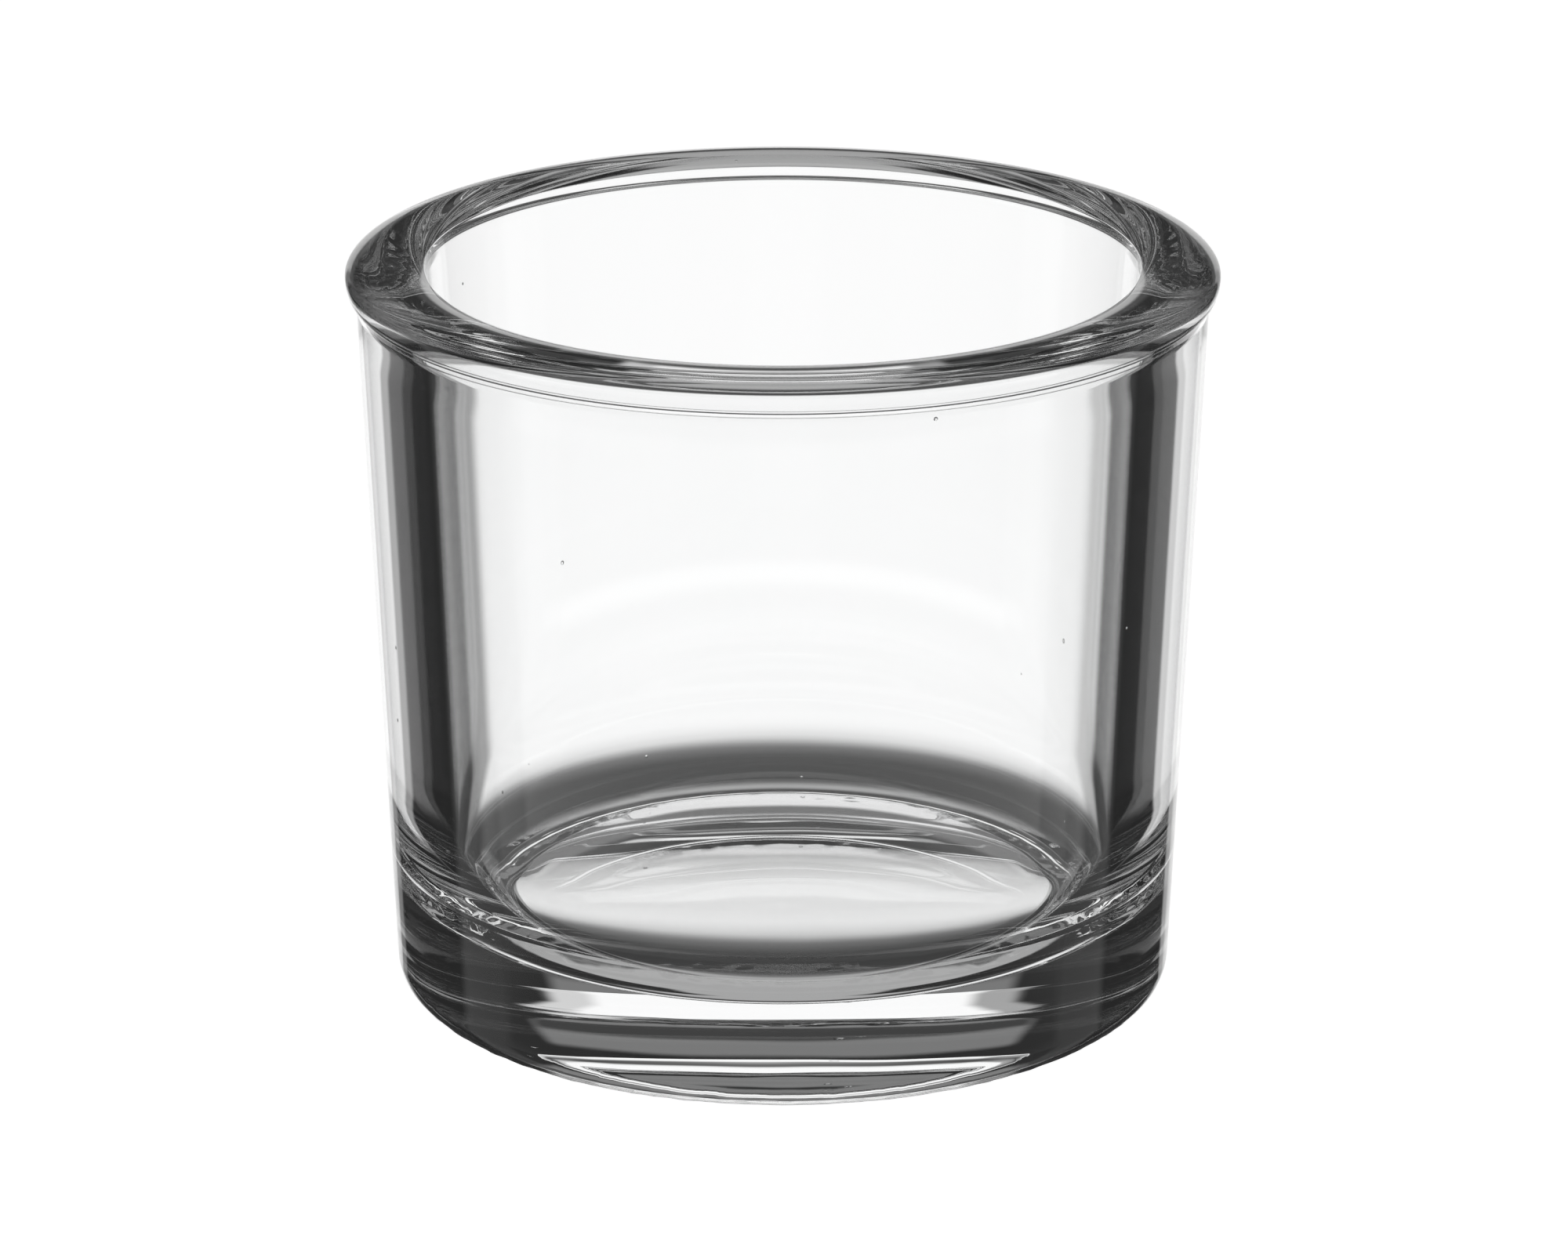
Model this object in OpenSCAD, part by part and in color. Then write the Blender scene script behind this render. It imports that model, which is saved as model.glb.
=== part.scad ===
// Heavy pressed-glass tealight holder: one solid of revolution, turned from a single half section.
// Millimetres, +Z up, origin on the surface it stands on, at the centre of the base.

/* [Overall] */
// Height from the table to the crest of the rim
height = 65; // [52:0.5:80]
// Diameter over the widest part of the rim bead
rim_d = 75; // [60:0.5:92]

/* [Outside wall] */
// Taper of the outside wall, in degrees from upright
outer_draft = 2.35; // [0:0.05:3]
// How far the rim bead stands out from the wall below it
bead_out = 0.9; // [0.3:0.1:2]
// Height from the lower edge of the bead to its widest point
bead_under = 1.7; // [0.8:0.1:3]

/* [Rim] */
// Drop from the crest of the rim to its widest point
crown_drop = 1.3; // [0.8:0.1:3]
// Distance from the widest point inwards to the crest
crest_in = 3.1; // [2:0.1:4.5]
// Width of the rim from the widest point to the mouth edge
rim_w = 6.8; // [5.4:0.1:8]
// Drop from the crest of the rim to the mouth edge
mouth_drop = 0.7; // [0.4:0.1:2]

/* [Cavity] */
// How much the flare below the mouth edge narrows the cavity, on the radius
flare_in = 0.4; // [0.2:0.1:3]
// Height of the flare
flare_h = 6.4; // [3:0.1:10]
// How far the softened ends of the flare reach along their sides
flare_soft = 1; // [0.3:0.1:1.4]
// Taper of the cavity wall below the flare, in degrees from upright
cavity_draft = 2; // [0:0.1:3]
// Height of the cavity floor above the table
floor_t = 7.3; // [5:0.1:14]
// Width of the rounding between the floor and the cavity wall
fillet_w = 4.8; // [2:0.1:7]
// Height of the rounding between the floor and the cavity wall
fillet_h = 10.4; // [2:0.1:14]

/* [Base] */
// Width of the rounded foot corner
foot_round_w = 1.1; // [0.4:0.1:3]
// Height of the rounded foot corner
foot_round_h = 2; // [1:0.1:6]
// Width of the flat bearing ring that the holder stands on
ring_w = 2.1; // [1:0.1:8]
// Rise of the shallow dome pressed into the underside
dome_h = 1.8; // [0.5:0.1:3]

/* [Hidden] */

$fn = 128;
bend_steps = 12; // points along each rounded stretch of the half section
soft_steps = 6; // points along each softened corner
soft_share = 0.45; // the most of a side that a softened corner takes
crest_gap = 5; // degrees each crown bend stops short of the other, so that they meet once
mouth_turn = 60; // degrees the crown has turned over where it meets the mouth edge

rim_r = rim_d / 2;
widest_z = height - crown_drop;
bead_z = widest_z - bead_under;
neck_r = rim_r - bead_out;
crest_r = rim_r - crest_in;
mouth_r = rim_r - rim_w;

// outside radius of the tapered wall at a height
function outer_r(z) = neck_r - (bead_z - z) * tan(outer_draft);

ring_out_r = outer_r(foot_round_h) - foot_round_w;
ring_in_r = ring_out_r - ring_w;

flare_z = height - mouth_drop - flare_h;
wall_top = [mouth_r - flare_in, flare_z];
fillet_z = floor_t + fillet_h;
wall_foot_r = wall_top.x - (flare_z - fillet_z) * tan(cavity_draft);

// the crown inside its crest: an ellipse that has turned by mouth_turn at the mouth edge
crown_half = [(crest_r - mouth_r) / sin(mouth_turn), mouth_drop / (1 - cos(mouth_turn))];

// points along an ellipse about a centre, between two angles
function bend(centre, half, from, to) =
    [for (i = [0 : bend_steps])
        let (a = from + (to - from) * i / bend_steps)
        centre + [half.x * cos(a), half.y * sin(a)]];

// points along a curve that softens a corner and touches the two sides that meet there
function soften(before, corner, after, reach) =
    let (a = corner + (before - corner) * min(reach / norm(before - corner), soft_share),
         b = corner + (after - corner) * min(reach / norm(after - corner), soft_share))
    [for (i = [0 : soft_steps])
        let (t = i / soft_steps)
        a * (1 - t) * (1 - t) + corner * 2 * t * (1 - t) + b * t * t];

dome = [for (i = [0 : bend_steps])
    let (s = i / bend_steps)
    [ring_in_r * s, dome_h * (1 - s * s)]];
foot = bend([ring_out_r, foot_round_h], [foot_round_w, foot_round_h], -90, 0);
bead = bend([neck_r, widest_z], [bead_out, bead_under], -90, 0);
crown_out = bend([crest_r, widest_z], [crest_in, crown_drop], crest_gap, 90);
crown_in = bend([crest_r, height - crown_half.y], crown_half, 90 + crest_gap, 90 + mouth_turn);
mouth_edge = crown_in[bend_steps];
fillet = bend([wall_foot_r - fillet_w, fillet_z], [fillet_w, fillet_h], 0, -90);
mouth = soften(crown_in[bend_steps - 1], mouth_edge, wall_top, flare_soft);
flare_foot = soften(mouth_edge, wall_top, fillet[0], flare_soft);

half_section = concat(
    dome, foot, bead, crown_out,
    [for (i = [0 : bend_steps - 1]) crown_in[i]],
    mouth, flare_foot, fillet,
    [[0, floor_t]]
);

module glass_holder() {
    color([0.93, 0.95, 0.95, 0.35])
        rotate_extrude()
            polygon(half_section);
}

glass_holder();
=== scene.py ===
import math

import bpy
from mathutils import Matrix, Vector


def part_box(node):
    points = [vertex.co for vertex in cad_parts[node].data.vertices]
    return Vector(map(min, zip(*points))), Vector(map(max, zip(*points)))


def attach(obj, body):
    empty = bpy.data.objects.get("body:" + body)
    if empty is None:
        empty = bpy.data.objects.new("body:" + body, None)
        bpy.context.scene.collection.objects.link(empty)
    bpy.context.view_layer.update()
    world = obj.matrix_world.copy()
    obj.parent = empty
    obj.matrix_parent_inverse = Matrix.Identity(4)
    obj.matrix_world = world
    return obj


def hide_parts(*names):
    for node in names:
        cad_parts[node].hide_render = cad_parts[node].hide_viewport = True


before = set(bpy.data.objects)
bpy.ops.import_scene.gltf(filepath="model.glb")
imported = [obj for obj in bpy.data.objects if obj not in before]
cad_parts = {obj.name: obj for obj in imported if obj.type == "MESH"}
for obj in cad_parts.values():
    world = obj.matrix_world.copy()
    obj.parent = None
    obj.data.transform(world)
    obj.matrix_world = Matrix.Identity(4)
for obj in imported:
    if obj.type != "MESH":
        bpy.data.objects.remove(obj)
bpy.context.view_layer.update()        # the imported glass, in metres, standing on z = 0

glassLow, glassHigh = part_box("glass_holder")
print("frame loaded:", sorted(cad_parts))


def deselectAll():
    if bpy.context.object and bpy.context.object.mode != "OBJECT":
        bpy.ops.object.mode_set(mode="OBJECT")
    bpy.ops.object.select_all(action="DESELECT")


# picks the vertices, edges or faces that answer wanted(), and ends in edit mode
def selectWhere(piece, kind, wanted):
    bpy.ops.object.mode_set(mode="EDIT")
    bpy.ops.mesh.select_mode(type=kind)
    bpy.ops.mesh.select_all(action="DESELECT")
    bpy.ops.object.mode_set(mode="OBJECT")
    parts = {"VERT": piece.data.vertices, "EDGE": piece.data.edges, "FACE": piece.data.polygons}[kind]
    picked = 0
    for part in parts:
        part.select = wanted(part)
        picked += part.select
    bpy.ops.object.mode_set(mode="EDIT")
    return picked


glassShape = {                 # metres and degrees
    "outerDraft": 2.35,        # taper of the outside wall
    "beadOut": 0.0009,         # how far the rim bead stands out from the wall
    "beadUnder": 0.0017,       # from the bead's lower edge up to its widest point
    "crownDrop": 0.0013,       # from the crest down to the widest point
    "crestIn": 0.0031,         # from the widest point in to the crest
    "rimWide": 0.0068,         # from the widest point in to the mouth edge
    "mouthDrop": 0.0007,       # from the crest down to the mouth edge
    "mouthTurn": 60,           # how far the crown has turned over at the mouth edge
    "flareIn": 0.0004,         # how much the flare narrows the cavity
    "flareHigh": 0.0064,
    "flareSoft": 0.0010,       # reach of the softened corners at both ends of the flare
    "cavityDraft": 2.0,
    "floorHigh": 0.0073,
    "filletWide": 0.0048,      # rounding between floor and wall, a quarter of an ellipse
    "filletHigh": 0.0104,
    "footWide": 0.0011,        # rounded foot corner, a quarter of an ellipse
    "footHigh": 0.0020,
    "ringWide": 0.0021,        # flat bearing ring
    "domeHigh": 0.0018,        # shallow dome pressed into the underside
}

meshDetail = {
    "bend": 20,                # points along a rounded stretch
    "edge": 5,                 # points along a recess edge or a soft corner
    "longest": 0.0016,         # no edge of the outline stays longer
    "turn": 320,               # steps round the axis
    "weld": 1e-6,
    "crestGap": 5,             # degrees each crown bend stops short of the other
    "cornerShare": 0.45,       # the most of a side that a soft corner takes
}


# points along an ellipse from one angle to another, in degrees
def bend(centre, half, start, end):
    points = []
    for step in range(meshDetail["bend"] + 1):
        angle = math.radians(start + (end - start) * step / meshDetail["bend"])
        points.append((centre[0] + half[0] * math.cos(angle), centre[1] + half[1] * math.sin(angle)))
    return points


# points along a curve that replaces a corner and touches both of its sides
def softCorner(before, corner, after, reach):
    ends = []
    for other in (before, after):
        length = math.dist(corner, other)
        share = min(reach / length, meshDetail["cornerShare"])
        ends.append([c + (o - c) * share for c, o in zip(corner, other)])
    points = []
    for step in range(meshDetail["edge"] + 1):
        t = step / meshDetail["edge"]
        points.append(tuple((1 - t) ** 2 * a + 2 * t * (1 - t) * c + t * t * b
                            for a, c, b in zip(ends[0], corner, ends[1])))
    return points


# (radius, height) points, from the axis under the base round to the axis on the floor
def halfSection(shape):
    height = glassHigh.z
    rimRadius = (glassHigh.x - glassLow.x) / 2
    widestZ = height - shape["crownDrop"]
    beadZ = widestZ - shape["beadUnder"]
    neckRadius = rimRadius - shape["beadOut"]
    crestRadius = rimRadius - shape["crestIn"]
    mouthRadius = rimRadius - shape["rimWide"]
    flareZ = height - shape["mouthDrop"] - shape["flareHigh"]
    wallTop = (mouthRadius - shape["flareIn"], flareZ)
    filletZ = shape["floorHigh"] + shape["filletHigh"]
    wallFoot = wallTop[0] - (flareZ - filletZ) * math.tan(math.radians(shape["cavityDraft"]))
    footRadius = neckRadius - (beadZ - shape["footHigh"]) * math.tan(math.radians(shape["outerDraft"]))
    ringOut = footRadius - shape["footWide"]
    ringIn = ringOut - shape["ringWide"]

    steps = meshDetail["bend"]
    gap = meshDetail["crestGap"]
    dome = [(ringIn * step / steps, shape["domeHigh"] * (1 - (step / steps) ** 2))
            for step in range(steps + 1)]
    foot = bend((ringOut, shape["footHigh"]), (shape["footWide"], shape["footHigh"]), -90, 0)
    bead = bend((neckRadius, widestZ), (shape["beadOut"], shape["beadUnder"]), -90, 0)
    crown = bend((crestRadius, widestZ), (shape["crestIn"], shape["crownDrop"]), gap, 90)
    turn = math.radians(shape["mouthTurn"])
    innerHalf = ((crestRadius - mouthRadius) / math.sin(turn), shape["mouthDrop"] / (1 - math.cos(turn)))
    inner = bend((crestRadius, height - innerHalf[1]), innerHalf, 90 + gap,
                 90 + shape["mouthTurn"])
    fillet = bend((wallFoot - shape["filletWide"], filletZ),
                  (shape["filletWide"], shape["filletHigh"]), 0, -90)
    mouth = softCorner(inner[-2], inner[-1], wallTop, shape["flareSoft"])
    flare = softCorner(inner[-1], wallTop, fillet[0], shape["flareSoft"])
    return dome + foot + bead + crown + inner[:-1] + mouth + flare + fillet + [(0, shape["floorHigh"])]


# extrudes one vertex along the outline, then splits the long straight edges
def drawOutline(points):
    bpy.ops.mesh.primitive_plane_add(size=0.001, location=(0, 0, 0))
    piece = bpy.context.object
    selectWhere(piece, "VERT", lambda vertex: vertex.index > 0)
    bpy.ops.mesh.delete(type="VERT")
    selectWhere(piece, "VERT", lambda vertex: True)
    here = piece.data.vertices[0].co.copy()
    bpy.ops.transform.translate(value=(points[0][0] - here.x, -here.y, points[0][1] - here.z))
    for (r0, z0), (r1, z1) in zip(points, points[1:]):
        if math.dist((r0, z0), (r1, z1)) > meshDetail["weld"]:
            bpy.ops.mesh.extrude_region_move(TRANSFORM_OT_translate={"value": (r1 - r0, 0, z1 - z0)})

    def tooLong(edge):
        a, b = (piece.data.vertices[i].co for i in edge.vertices)
        return (a - b).length > meshDetail["longest"]

    while selectWhere(piece, "EDGE", tooLong):
        bpy.ops.mesh.subdivide(number_cuts=1)
    return piece


# spins the outline into a closed solid with its faces outwards
def turnOutline(piece):
    bpy.ops.mesh.select_all(action="SELECT")
    bpy.ops.mesh.spin(steps=meshDetail["turn"], angle=math.tau, center=(0, 0, 0), axis=(0, 0, 1))
    bpy.ops.mesh.select_all(action="SELECT")
    bpy.ops.mesh.remove_doubles(threshold=meshDetail["weld"])
    bpy.ops.mesh.select_all(action="SELECT")
    bpy.ops.mesh.normals_make_consistent(inside=False)
    bpy.ops.object.mode_set(mode="OBJECT")
    bpy.ops.object.shade_smooth()


glassFlaws = {                 # what the press and the mould leave behind, metres
    "ringBelow": 0.0006,       # stipple reaches this far up from the table
    "ringIn": 0.0302,          # and this far in from the ring
    "ringGrain": 0.0011,
    "ringDeep": 0.00014,
    "domeGrain": 0.0140,       # slow unevenness of the dome
    "domeDeep": 0.00004,
    "domeSpare": 0.0001,       # how far above the dome its vertices are still taken
    "poleClear": 0.0005,       # the middle stays put
}


# pushes the chosen vertices up by a cloudy pattern, never down
def unevenStretch(piece, name, wanted, grain, deep):
    selectWhere(piece, "VERT", wanted)
    group = piece.vertex_groups.new(name=name)
    piece.vertex_groups.active_index = group.index
    bpy.ops.object.vertex_group_assign()
    bpy.ops.object.mode_set(mode="OBJECT")
    pattern = bpy.data.textures.new(name, "CLOUDS")
    pattern.noise_scale = grain
    pattern.noise_depth = 1
    bpy.ops.object.modifier_add(type="DISPLACE")
    push = piece.modifiers[-1]
    push.texture = pattern
    push.texture_coords = "LOCAL"
    push.direction = "Z"
    push.mid_level = 0
    push.strength = deep
    push.vertex_group = name
    bpy.ops.object.modifier_apply(modifier=push.name)


def onRing(vertex):
    x, y, z = vertex.co
    return z < glassFlaws["ringBelow"] and math.hypot(x, y) > glassFlaws["ringIn"]


def onDome(vertex):
    x, y, z = vertex.co
    out = math.hypot(x, y)
    low = z < glassShape["domeHigh"] + glassFlaws["domeSpare"]
    return low and glassFlaws["poleClear"] < out < glassFlaws["ringIn"]


deselectAll()
holder = drawOutline(halfSection(glassShape))
turnOutline(holder)
holder.name = holder.data.name = "pressedGlassHolder"
unevenStretch(holder, "bearingRing", onRing, glassFlaws["ringGrain"], glassFlaws["ringDeep"])
unevenStretch(holder, "underDome", onDome, glassFlaws["domeGrain"], glassFlaws["domeDeep"])
print("glass turned:", len(holder.data.polygons), "faces")


glassFinish = {
    "ior": 1.52,
    "haze": (0.0, 0.006),      # roughness from clear to the faintest haze
    "hazeScale": 90,
    "tint": ((1.0, 1.0, 1.0, 1), (0.985, 0.99, 0.99, 1)),
    "waveScale": 55,           # slow waves left by the plunger, drawn out along the wall
    "waveStretch": 0.22,
    "waveDeep": 0.000006,
    "speckScale": 110,         # seeds and dust marks
    "speckWide": (0.014, 0.026),
    "speckDeep": 0.00012,
}


def addNode(tree, kind, **values):
    node = tree.nodes.new("ShaderNode" + kind)
    for name, value in values.items():
        if name in node.inputs:
            node.inputs[name].default_value = value
        else:
            setattr(node, name, value)
    return node


def clearGlass(finish):
    material = bpy.data.materials.new("clearPressedGlass")
    material.use_nodes = True
    tree = material.node_tree
    shader = tree.nodes["Principled BSDF"]
    shader.inputs["Transmission Weight"].default_value = 1
    shader.inputs["IOR"].default_value = finish["ior"]
    places = addNode(tree, "TexCoord")

    haze = addNode(tree, "TexNoise", Scale=finish["hazeScale"], Detail=3)
    tree.links.new(places.outputs["Object"], haze.inputs["Vector"])
    rough = addNode(tree, "MapRange")
    rough.inputs["To Min"].default_value, rough.inputs["To Max"].default_value = finish["haze"]
    tree.links.new(haze.outputs["Fac"], rough.inputs["Value"])
    tree.links.new(rough.outputs["Result"], shader.inputs["Roughness"])

    tint = addNode(tree, "ValToRGB")
    tint.color_ramp.elements[0].color, tint.color_ramp.elements[1].color = finish["tint"]
    tree.links.new(haze.outputs["Fac"], tint.inputs["Fac"])
    tree.links.new(tint.outputs["Color"], shader.inputs["Base Color"])

    stretch = addNode(tree, "Mapping")
    stretch.inputs["Scale"].default_value = (1, 1, finish["waveStretch"])
    wave = addNode(tree, "TexNoise", Scale=finish["waveScale"], Detail=1)
    tree.links.new(places.outputs["Object"], stretch.inputs["Vector"])
    tree.links.new(stretch.outputs["Vector"], wave.inputs["Vector"])
    waveBump = addNode(tree, "Bump", Strength=1, Distance=finish["waveDeep"])
    tree.links.new(wave.outputs["Fac"], waveBump.inputs["Height"])

    specks = addNode(tree, "TexVoronoi", Scale=finish["speckScale"])
    tree.links.new(places.outputs["Object"], specks.inputs["Vector"])
    dots = addNode(tree, "MapRange", interpolation_type="SMOOTHSTEP")
    dots.inputs["From Min"].default_value, dots.inputs["From Max"].default_value = finish["speckWide"]
    dots.inputs["To Min"].default_value, dots.inputs["To Max"].default_value = 1, 0
    tree.links.new(specks.outputs["Distance"], dots.inputs["Value"])
    speckBump = addNode(tree, "Bump", Strength=1, Distance=finish["speckDeep"])
    tree.links.new(dots.outputs["Result"], speckBump.inputs["Height"])
    tree.links.new(waveBump.outputs["Normal"], speckBump.inputs["Normal"])
    tree.links.new(speckBump.outputs["Normal"], shader.inputs["Normal"])
    return material


holder.data.materials.clear()
holder.data.materials.append(clearGlass(glassFinish))
holder.visible_shadow = False     # light reaches the table through the glass
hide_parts("glass_holder")
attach(holder, "root")
print("glass finished")


sweepShape = {                 # a round table that turns up into a wall, metres
    "reach": 3.0,
    "sides": 96,
    "drop": 0.0002,
    "coveRadius": 0.6,
    "coveSteps": 8,
    "wallHigh": 2.4,
    "colour": (0.96, 0.96, 0.96, 1),
    "glow": 0.9,
    "grainScale": 6,
    "grain": (0.85, 0.95),
}


def paleSweep(shape):
    material = bpy.data.materials.new("paleSweep")
    material.use_nodes = True
    tree = material.node_tree
    shader = tree.nodes["Principled BSDF"]
    shader.inputs["Base Color"].default_value = shape["colour"]
    shader.inputs["Emission Color"].default_value = (1, 1, 1, 1)
    shader.inputs["Emission Strength"].default_value = shape["glow"]
    places = addNode(tree, "TexCoord")
    grain = addNode(tree, "TexNoise", Scale=shape["grainScale"], Detail=2)
    rough = addNode(tree, "MapRange")
    rough.inputs["To Min"].default_value, rough.inputs["To Max"].default_value = shape["grain"]
    tree.links.new(places.outputs["Object"], grain.inputs["Vector"])
    tree.links.new(grain.outputs["Fac"], rough.inputs["Value"])
    tree.links.new(rough.outputs["Result"], shader.inputs["Roughness"])
    return material


def raiseSweep(shape):
    deselectAll()
    bpy.ops.mesh.primitive_circle_add(vertices=shape["sides"], radius=shape["reach"], fill_type="NGON",
                                      location=(0, 0, -shape["drop"]))
    sweep = bpy.context.object
    sweep.name = sweep.data.name = "studioSweep"
    selectWhere(sweep, "EDGE", lambda edge: True)
    reach, high = shape["reach"], 0.0
    for step in range(1, shape["coveSteps"] + 1):
        turn = math.pi / 2 * step / shape["coveSteps"]
        nextReach = shape["reach"] + shape["coveRadius"] * math.sin(turn)
        nextHigh = shape["coveRadius"] * (1 - math.cos(turn))
        bpy.ops.mesh.extrude_region_move(TRANSFORM_OT_translate={"value": (0, 0, nextHigh - high)})
        bpy.ops.transform.resize(value=(nextReach / reach, nextReach / reach, 1))
        reach, high = nextReach, nextHigh
    bpy.ops.mesh.extrude_region_move(TRANSFORM_OT_translate={"value": (0, 0, shape["wallHigh"] - high)})
    bpy.ops.object.mode_set(mode="OBJECT")
    bpy.ops.object.shade_smooth()
    sweep.data.materials.append(paleSweep(shape))
    sweep.visible_glossy = False          # the glass sees the light cards instead
    sweep.visible_transmission = False
    sweep.visible_diffuse = False
    sweep.visible_shadow = False
    print("sweep raised:", len(sweep.data.polygons), "faces")


raiseSweep(sweepShape)


studio = {                     # degrees: 0 is straight behind the glass, + to the right, or up
    "gloom": 0.02,             # an unlit room
    "screen": 20,              # half width of the bright screen
    "screenFoot": -30,
    "screenTop": 8,
    "screenGlow": 1.05,
    "edge": 6,                 # dimmer margin at each side of the screen
    "edgeGlow": (0.4, 0.7),    # left, right: the screen leans, so its right margin is brighter
    "flagReach": 70,           # black flags stand from the screen out to here
    "flagGlow": 0.02,
    "flagFoot": -70,
    "flagTop": 40,
    "headerTop": 30,           # grey board over the screen
    "headerGlow": 0.2,
    "slot": (12, 20),          # dark gap in the header
    "tableGlow": 0.4,
    "shadeFoot": -50,          # table in the shade, below the screen
    "shadeGlow": 0.05,
    "front": 90,               # where the camera's side of the room begins
    "frontFoot": -40,
    "frontGlow": 0.15,
    "strip": (-25, -20),       # low strip light beside the camera
    "stripGlow": 0.8,
    "ceiling": (55, 65),       # soft box overhead, a ring with a dark middle
    "ceilingGlow": 0.8,
    "soft": 5,
    "crisp": 3,                # the screen and its header end sharply
    "fade": 10,                # but its foot fades into the shade
    "mapDetail": 512,          # how finely the light is sampled
    "bounces": 48,             # light crosses thick glass many times
}


# name, side from and to, low and high, softness, glow; a later card hangs in front of the earlier ones
def studioCards(rig):
    edgeOut = rig["screen"] + rig["edge"]
    front = rig["front"]
    soft, crisp = rig["soft"], rig["crisp"]
    behind = (-edgeOut, edgeOut)
    screenUpright = (rig["screenFoot"], rig["screenTop"])
    flagUpright = (rig["flagFoot"], rig["flagTop"])
    frontUpright = (rig["frontFoot"], 0)
    return [
        ("table", (-180, 180), (-90, 0), soft, rig["tableGlow"]),
        ("ceiling", (-180, 180), rig["ceiling"], soft, rig["ceilingGlow"]),
        ("front left", (-180, -front), frontUpright, soft, rig["frontGlow"]),
        ("front right", (front, 180), frontUpright, soft, rig["frontGlow"]),
        ("strip left", (-180, -front), rig["strip"], crisp, rig["stripGlow"]),
        ("strip right", (front, 180), rig["strip"], crisp, rig["stripGlow"]),
        ("flag left", (-rig["flagReach"], -edgeOut), flagUpright, soft, rig["flagGlow"]),
        ("flag right", (edgeOut, rig["flagReach"]), flagUpright, soft, rig["flagGlow"]),
        ("header", behind, (rig["screenTop"], rig["headerTop"]), crisp, rig["headerGlow"]),
        ("slot", behind, rig["slot"], crisp, rig["shadeGlow"]),
        ("margin left", (-edgeOut, 0), screenUpright, crisp, rig["edgeGlow"][0]),
        ("margin right", (0, edgeOut), screenUpright, crisp, rig["edgeGlow"][1]),
        ("screen", (-rig["screen"], rig["screen"]), screenUpright, crisp, rig["screenGlow"]),
        ("shade", behind, (rig["shadeFoot"], rig["screenFoot"]), rig["fade"], rig["shadeGlow"]),
    ]


def addMath(tree, operation, first, second=None):
    node = tree.nodes.new("ShaderNodeMath")
    node.operation = operation
    for socket, value in zip(node.inputs, (first, second)):
        if isinstance(value, bpy.types.NodeSocket):
            tree.links.new(value, socket)
        elif value is not None:
            socket.default_value = value
    return node.outputs[0]


# 1 between low and high, 0 outside, with a soft edge of that width
def softBand(tree, value, low, high, soft):
    edges = []
    for edge, way in ((low, 1), (high, -1)):
        node = tree.nodes.new("ShaderNodeMapRange")
        node.interpolation_type = "SMOOTHSTEP"
        tree.links.new(value, node.inputs["Value"])
        node.inputs["From Min"].default_value = math.radians(edge - way * soft / 2)
        node.inputs["From Max"].default_value = math.radians(edge + way * soft / 2)
        edges.append(node.outputs["Result"])
    return addMath(tree, "MULTIPLY", edges[0], edges[1])


def hangLight(rig):
    world = bpy.data.worlds.new("softStudio")
    bpy.context.scene.world = world
    world.use_nodes = True
    tree = world.node_tree
    places = addNode(tree, "TexCoord")
    split = addNode(tree, "SeparateXYZ")
    tree.links.new(places.outputs["Generated"], split.inputs[0])
    side = addMath(tree, "ARCTAN2", split.outputs["X"], split.outputs["Y"])
    height = addMath(tree, "ARCSINE", split.outputs["Z"])
    glow = rig["gloom"]
    cards = studioCards(rig)
    for name, (sideFrom, sideTo), (low, high), soft, level in cards:
        sideFrom -= soft * (sideFrom == -180)      # the far side and the pole have no edge
        sideTo += soft * (sideTo == 180)
        low -= soft * (low == -90)
        across = softBand(tree, side, sideFrom, sideTo, soft)
        upright = softBand(tree, height, low, high, soft)
        mix = addNode(tree, "Mix", label=name)
        tree.links.new(addMath(tree, "MULTIPLY", across, upright), mix.inputs["Factor"])
        if isinstance(glow, float):
            mix.inputs["A"].default_value = glow
        else:
            tree.links.new(glow, mix.inputs["A"])
        mix.inputs["B"].default_value = level
        glow = mix.outputs["Result"]
    tree.links.new(glow, tree.nodes["Background"].inputs["Color"])
    world.cycles.sampling_method = "MANUAL"
    world.cycles.sample_map_resolution = rig["mapDetail"]
    print("light hung:", len(cards), "cards")


hangLight(studio)
scene = bpy.context.scene
scene.cycles.max_bounces = studio["bounces"]
scene.cycles.transmission_bounces = studio["bounces"]
scene.cycles.glossy_bounces = studio["bounces"]
scene.view_settings.view_transform = "Standard"


viewPoint = {
    "lens": 149.5,             # mm on a 36 mm sensor
    "sensor": 36,
    "above": 19.29,            # degrees above the table
    "away": 0.569,
    "aimAside": 0.0001,
    "aimHigh": 0.0311,
}


def placeCamera(place):
    above = math.radians(place["above"])
    deselectAll()
    bpy.ops.object.camera_add(
        location=(place["aimAside"], -place["away"] * math.cos(above),
                  place["aimHigh"] + place["away"] * math.sin(above)),
        rotation=(math.pi / 2 - above, 0, 0))
    camera = bpy.context.object
    camera.data.lens = place["lens"]
    camera.data.sensor_width = place["sensor"]
    bpy.context.scene.camera = camera


placeCamera(viewPoint)
